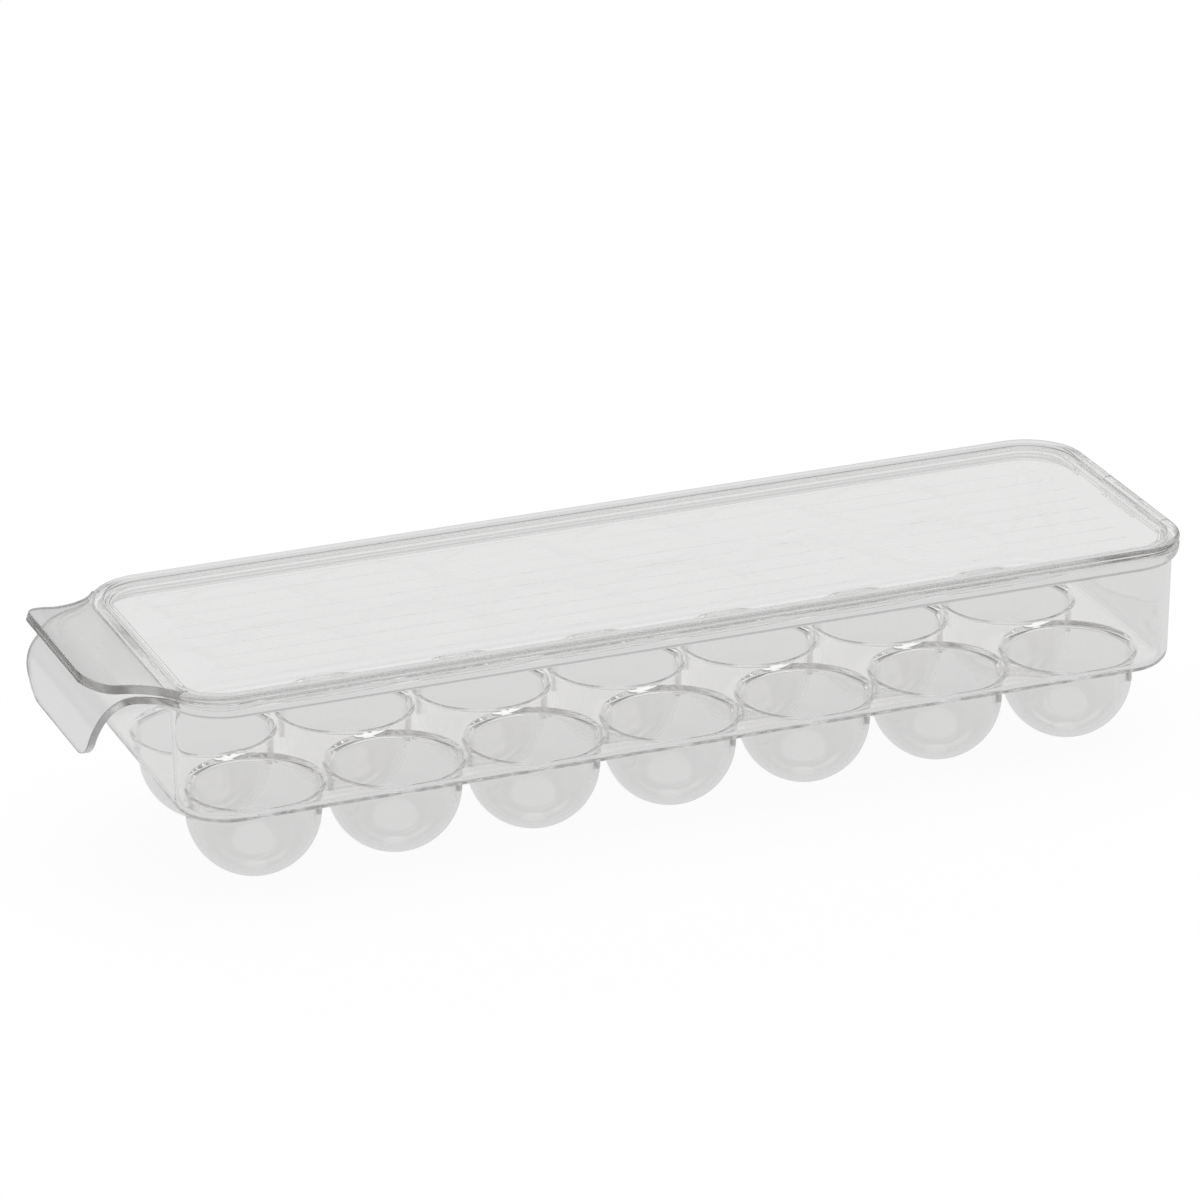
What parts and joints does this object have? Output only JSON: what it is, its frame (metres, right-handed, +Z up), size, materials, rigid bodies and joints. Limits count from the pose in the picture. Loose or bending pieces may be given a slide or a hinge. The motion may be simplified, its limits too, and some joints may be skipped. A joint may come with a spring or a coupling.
{
  "type": "egg keeper with flip lid",
  "caption": "Long clear plastic egg tray with round hanging cups, a scooped pull handle at one end and a flat ribbed lid hinged at the other.",
  "frame": {"origin": "on the surface that the cups stand on, under the middle of the whole length and width", "axes": "+X from the pull handle's end to the hinge end, along the length; +Y across; +Z up"},
  "size_m": [0.3726, 0.108, 0.0769],
  "materials": {
    "clear_tray": "clear, polished moulded plastic",
    "clear_lid": "clear, polished moulded plastic"
  },
  "bodies": {
    "tray": {"tray_wall": "clear_tray", "tray_rim": "clear_tray", "tray_deck": "clear_tray", "pull_handle": "clear_tray", "hinge_bar_near": "clear_tray", "hinge_bar_far": "clear_tray", "egg_cup_near_1": "clear_tray", "egg_cup_near_2": "clear_tray", "egg_cup_near_3": "clear_tray", "egg_cup_near_4": "clear_tray", "egg_cup_near_5": "clear_tray", "egg_cup_near_6": "clear_tray", "egg_cup_near_7": "clear_tray", "egg_cup_far_1": "clear_tray", "egg_cup_far_2": "clear_tray", "egg_cup_far_3": "clear_tray", "egg_cup_far_4": "clear_tray", "egg_cup_far_5": "clear_tray", "egg_cup_far_6": "clear_tray", "egg_cup_far_7": "clear_tray"},
    "lid": {"lid_edge": "clear_lid", "lid_panel": "clear_lid", "lid_ribs": "clear_lid", "lid_skirt": "clear_lid", "lid_tab": "clear_lid", "hinge_clip_near": "clear_lid", "hinge_clip_far": "clear_lid"}
  },
  "joints": [
    {"name": "lid_flip", "type": "hinge", "parent": "tray", "child": "lid", "pos_m": [0.1834, 0, 0.068], "axis": [0, 1, 0], "range_deg": [0, 110]}
  ]
}
